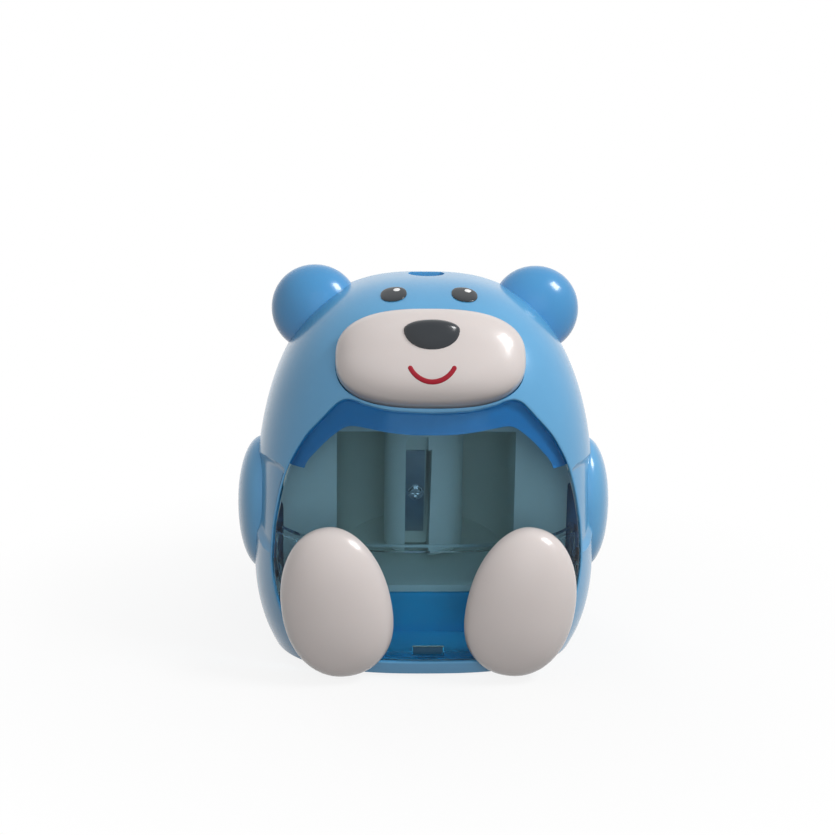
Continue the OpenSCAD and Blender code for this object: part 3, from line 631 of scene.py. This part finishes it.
def lip():
    """The part of the front shell that shows through the top of the window."""
    lip_loop = half_curve(LIP)
    hole = lip_loop + [np.array((-q[0], q[1])) for q in lip_loop[-1:0:-1]]
    body = body_form("window_lip", WINDOW_T + LIP_GAP, RIM_Z)
    cut(body, body_form("inside", WINDOW_T + LIP_GAP + LIP_T, UNDER_Z))
    keep(body, prism("round", grow_loop(window_loop(), LIP_LAP), -FAR, 0))
    keep(body, block("upper", (-FAR, -FAR, LIP_LOW_Z), (FAR, 0, FAR)))
    cut(body, prism("hole", hole, -FAR, 0))
    soften(body)
    # The lip takes the darker blue: painted shade on the recessed wall behind the window.
    dress(body, SHADED_BLUE, "housing", "body_plastic")


def rear_shell():
    shell = body_form("rear_shell_skin", 0, RIM_Z)
    merge(shell, place(rod("boss", BOSS_R, -BOSS_Y[1], -BOSS_Y[0]), (0, 0, SHAFT_Z), (90, 0, 0)))
    cut(shell, body_form("inside", WALL, UNDER_Z))
    cut(shell, block("front_half", (-FAR, -FAR, -FAR), (FAR, SPLIT_Y + SEAM_HALF, FAR)))
    holes = [(side * x, z, BOLT_HOLE_R) for x, z in BOLT_HOLES for side in (1, -1)]
    for x, z, r in holes + [(0, SHAFT_Z, BUSH_HOLE_R)]:
        cut(shell, place(rod("hole", r, -FAR, -INSIDE_Y), (x, 0, z), (90, 0, 0)))
    soften(shell, form=True)
    dress(shell, BLUE, "housing", "body_plastic", "rear_shell")


front_shell()
lip()
rear_shell()


# Head, arms and feet

def limbs(side, mirror):
    """One side's ear, arm and foot."""
    ear = place(pillow(side + "_ear_ball", EAR_SIZE, EAR_N), EAR_AT, mirror=mirror)
    # The ears take the darker blue: painted shade.
    dress(ear, SHADED_BLUE, "housing", "body_plastic", side + "_ear")
    arm = place(pillow(side + "_arm_pad", ARM_SIZE, ARM_N), ARM_AT, mirror=mirror)
    dress(arm, BLUE, "housing", "body_plastic", side + "_arm")
    foot = pillow(side + "_foot_pad", FOOT_SIZE, FOOT_N, slim=FOOT_TAPER)
    place(foot, FOOT_AT, (0, FOOT_LEAN, 0), mirror)
    cut(foot, body_form("body", -FOOT_GAP, UNDER_Z, 120))
    soften(foot, 40)
    dress(foot, WHITE, "drawer", "white_plastic", side + "_foot")


def eye(side, mirror):
    """One eye with its white dot, lying on the body form."""
    disc = pillow(side + "_eye_disc", EYE_SIZE, EYE_N, EYE_DOWN, m=12)
    dress(place(disc, EYE_AT, EYE_TURN, mirror), DARK, "housing", "dark_plastic", side + "_eye")
    spot = pillow(side + "_eye_dot", DOT_SIZE, 2, m=6, k=32)
    # The dots lie on the same side of both eyes, so the mirrored eye starts with its dot the other way.
    place(spot, (-DOT_AT[0] if mirror else DOT_AT[0], DOT_AT[1], DOT_AT[2]))
    dress(place(spot, EYE_AT, EYE_TURN, mirror), GLINT, "housing", "white_plastic")


def smile():
    """A red arc that follows the muzzle's surface, with round ends and a softly raised middle."""
    a, b, c = MUZZLE_SIZE
    half = SMILE_STROKE / 2

    def round_end(point, way, bends):
        x, z, turn, _ = point
        return [(x + way * math.cos(turn) * half * math.sin(u), z + way * math.sin(turn) * half * math.sin(u),
                 turn, half * math.cos(u)) for u in np.radians(bends)]

    turns = np.radians(np.linspace(-SMILE_HALF_SPAN, SMILE_HALF_SPAN, 61))
    path = [(SMILE_R * math.sin(t), SMILE_Z - SMILE_R * math.cos(t), t, half) for t in turns]
    stroke = round_end(path[0], -1, np.linspace(86, 12, 8)) + path
    stroke += round_end(path[-1], 1, np.linspace(12, 86, 8))
    rings = []
    for x, z, turn, width in stroke:
        ring = []
        for u in np.linspace(0, 2 * math.pi, 12, endpoint=False):
            across = width * math.cos(u)
            px = x + math.sin(turn) * across
            pz = z - math.cos(turn) * across
            surface = b * (1 - abs(px / a) ** MUZZLE_N - abs(pz / c) ** MUZZLE_N) ** (1 / MUZZLE_N)
            ring.append((px, -surface - SMILE_RISE * math.sin(u), pz))
        rings.append(ring)
    return grid_mesh("smile_arc", rings, cap=True)


def muzzle():
    pad = on_muzzle(pillow("muzzle_pad", MUZZLE_SIZE, MUZZLE_N, k=128, m=40))
    dress(pad, WHITE, "housing", "white_plastic", "muzzle")
    nose = on_muzzle(place(pillow("nose_pad", NOSE_SIZE, NOSE_N, NOSE_DOWN), NOSE_AT))
    dress(nose, DARK, "housing", "dark_plastic", "nose")
    dress(on_muzzle(smile()), RED, "housing", "red_plastic", "smile")


for side, mirror in (("left", True), ("right", False)):
    limbs(side, mirror)
    eye(side, mirror)
muzzle()


# Drawer

def window_pane():
    """Clear wall: a closed skin of rings from the middle of the front over the edge to the back."""
    loop = np.array(grow_loop(window_loop(), -DRAWER_GAP))
    middle = np.array((0, PANE_MIDDLE_Z))
    front = [(middle + (loop - middle) * s, 0.0) for s in np.linspace(0.02, 0.97, 34)]
    for t in np.radians(np.linspace(0, 90, 5)):
        ring = grow_loop(loop, -PANE_EDGE_R * (1 - math.sin(t)))
        front.append((ring, PANE_EDGE_R * (1 - math.cos(t))))
    back = [(ring, WINDOW_T - inset) for ring, inset in front[::-1]]
    made = [[(q[0], float(front_y(q[0], q[1], inset)), q[1]) for q in ring] for ring, inset in front + back]
    pane = grid_mesh("window_pane", made, cap=True)
    cut(pane, block("slot", (-SLOT_HALF_W, -FAR, SLOT_Z[0]), (SLOT_HALF_W, 0, SLOT_Z[1])))
    soften(pane, 50)
    dress(pane, CLEAR, "drawer", "clear_plastic", "drawer_window")


def tray():
    """Thin clear walls behind the window, with a rim at the front and a low back."""
    side = DRAWER_GAP + TRAY_GAP
    front = WINDOW_T + TRAY_GAP
    loop = grow_loop(window_loop(), -side)
    body = prism("drawer_tray_clear", loop, -FAR, TRAY_BACK_Y)
    keep(body, block("height", (-FAR, -FAR, TRAY_FLOOR_Z), (FAR, 0, TRAY_RIM_Z)))
    keep(body, body_form("front", front, RIM_Z, 120))
    room = prism("room", grow_loop(window_loop(), -side - TRAY_T), -FAR, TRAY_BACK_Y - TRAY_T)
    keep(room, block("over", (-FAR, -FAR, TRAY_FLOOR_Z + TRAY_T), (FAR, 0, FAR)))
    keep(room, body_form("front", front + TRAY_T, RIM_Z - 0.2, 120))
    cut(body, room)
    rim = prism("rim", loop, -FAR, TRAY_BACK_Y)
    keep(rim, block("band", (-FAR, -FAR, TRAY_RIM_Z - TRAY_RIM_H), (FAR, 0, TRAY_RIM_Z - HAIR)))
    keep(rim, body_form("front", front + HAIR, RIM_Z, 120))
    cut(rim, body_form("inside", front + TRAY_RIM_W, UNDER_Z, 120))
    merge(body, rim)
    low_y = TRAY_BACK_Y - TRAY_T - 0.5
    cut(body, block("low_back", (-BAY_HALF_W, low_y, TRAY_BACK_Z), (BAY_HALF_W, 0, FAR)))
    cut(body, block("low_sides", (-FAR, low_y, TRAY_SIDE_Z), (FAR, 0, FAR)))
    soften(body, 35)
    dress(body, TRAY, "drawer", "clear_plastic", "drawer_tray")


window_pane()
tray()


# Crank

def knob():
    y0 = CRANK_ARM_Y + CRANK_ARM_T + KNOB_GAP
    turns = [2 * math.pi * i / 72 for i in range(72)]
    rows = [[(r * math.cos(t), y0 + h, SHAFT_Z - CRANK_LEN + r * math.sin(t)) for t in turns]
            for r, h in KNOB_PROFILE]
    obj = soften(grid_mesh("knob_grip", rows, close_rows=True), 50)
    dress(obj, WHITE, "knob", "white_plastic", "crank_knob")


knob()


# CAD nodes shown as they are

paint(BLUE, "crank_arm")
# The base plate takes the brighter blue: painted light.
paint(BRIGHTENED_BLUE, "base_plate")
# The catch insert's dark colour is painted shade.
paint(SLOT_SHADE, "catch_insert")
paint(CREAM, "mechanism_frame", "cutter_holder", "gear_bracket")
paint(BLADE, "blade")
paint(SCREW, "blade_screw", "thrust_washer", "shaft_clip", "bracket_screws", "crank_screw", "shell_screws",
      "base_screws")
paint(SHAFT, "crank_shaft", "knob_pin")
paint(GEAR, "head_gear", "crank_gear")
paint(BUSH, "shaft_bush")
# The pencil guide takes the brighter blue: painted light.
paint(BRIGHTENED_BLUE, "pencil_guide")
paint(RUBBER, "rubber_pads")


# Studio

def background_rays(nodes, links):
    """One for the rays that should see a plain white background: camera, glossy and transmission."""
    path = nodes.new("ShaderNodeLightPath")
    total = path.outputs["Is Camera Ray"]
    for name in ("Is Glossy Ray", "Is Transmission Ray"):
        add = nodes.new("ShaderNodeMath")
        add.operation = "MAXIMUM"
        links.new(total, add.inputs[0])
        links.new(path.outputs[name], add.inputs[1])
        total = add.outputs["Value"]
    return total


def floor():
    """Pale floor that turns to plain white away from the part and keeps a faint shadow under it."""
    size = 3.0
    mesh = bpy.data.meshes.new("floor")
    corners = [(-size, -size, 0), (size, -size, 0), (size, size, 0), (-size, size, 0)]
    mesh.from_pydata(corners, [], [(0, 1, 2, 3)])
    obj = bpy.data.objects.new("floor", mesh)
    bpy.context.scene.collection.objects.link(obj)
    mat, nodes, links, shader = new_material("floor_paper")
    coord = vary(nodes, links, shader, srgb(236, 236, 236), 20, 0.01)
    grain(nodes, links, shader, coord, 800, 0.02)
    shader.inputs["Roughness"].default_value = 0.9
    shader.inputs["Specular IOR Level"].default_value = 0.1
    glow = nodes.new("ShaderNodeEmission")
    glow.inputs["Color"].default_value = (1, 1, 1, 1)
    links.new(background_rays(nodes, links), glow.inputs["Strength"])
    length = nodes.new("ShaderNodeVectorMath")
    length.operation = "LENGTH"
    links.new(coord.outputs["Object"], length.inputs[0])
    fade = nodes.new("ShaderNodeMapRange")
    fade.inputs["From Min"].default_value = 0.06
    fade.inputs["From Max"].default_value = 0.16
    fade.inputs["To Min"].default_value = 0.86
    fade.inputs["To Max"].default_value = 1
    links.new(length.outputs["Value"], fade.inputs["Value"])
    mix = nodes.new("ShaderNodeMixShader")
    links.new(fade.outputs["Result"], mix.inputs["Fac"])
    links.new(shader.outputs["BSDF"], mix.inputs[1])
    links.new(glow.outputs["Emission"], mix.inputs[2])
    links.new(mix.outputs["Shader"], nodes["Material Output"].inputs["Surface"])
    mesh.materials.append(mat)


def world():
    """Even light for the part, and plain white behind it."""
    scene_world = bpy.data.worlds.new("studio")
    bpy.context.scene.world = scene_world
    scene_world.use_nodes = True
    nodes, links = scene_world.node_tree.nodes, scene_world.node_tree.links
    back = nodes["Background"]
    back.inputs["Color"].default_value = (1, 1, 1, 1)
    back.inputs["Strength"].default_value = 0.34
    seen = nodes.new("ShaderNodeBackground")
    seen.inputs["Color"].default_value = (1, 1, 1, 1)
    seen.inputs["Strength"].default_value = 1
    mix = nodes.new("ShaderNodeMixShader")
    links.new(background_rays(nodes, links), mix.inputs["Fac"])
    links.new(back.outputs["Background"], mix.inputs[1])
    links.new(seen.outputs["Background"], mix.inputs[2])
    links.new(mix.outputs["Shader"], nodes["World Output"].inputs["Surface"])


def lamp(name, at, look, size, watts, shine=True):
    """A square lamp that looks at a point, in metres; without shine it makes no highlight."""
    data = bpy.data.lights.new(name, "AREA")
    data.size = size
    data.energy = watts
    obj = bpy.data.objects.new(name, data)
    bpy.context.scene.collection.objects.link(obj)
    obj.location = at
    obj.rotation_euler = (Vector(look) - Vector(at)).to_track_quat("-Z", "Y").to_euler()
    obj.visible_glossy = shine


floor()
world()
lamp("key", (0.5, -0.2, 0.6), (0, 0, 0.06), 0.22, 3.1)
lamp("fill", (0.1, -0.9, 0.35), (0, 0, 0.05), 0.6, 3.3, shine=False)
lamp("back", (-0.35, 0.85, 0.5), (0, 0, 0.05), 0.5, 3.2, shine=False)

bpy.context.scene.view_settings.view_transform = "Standard"
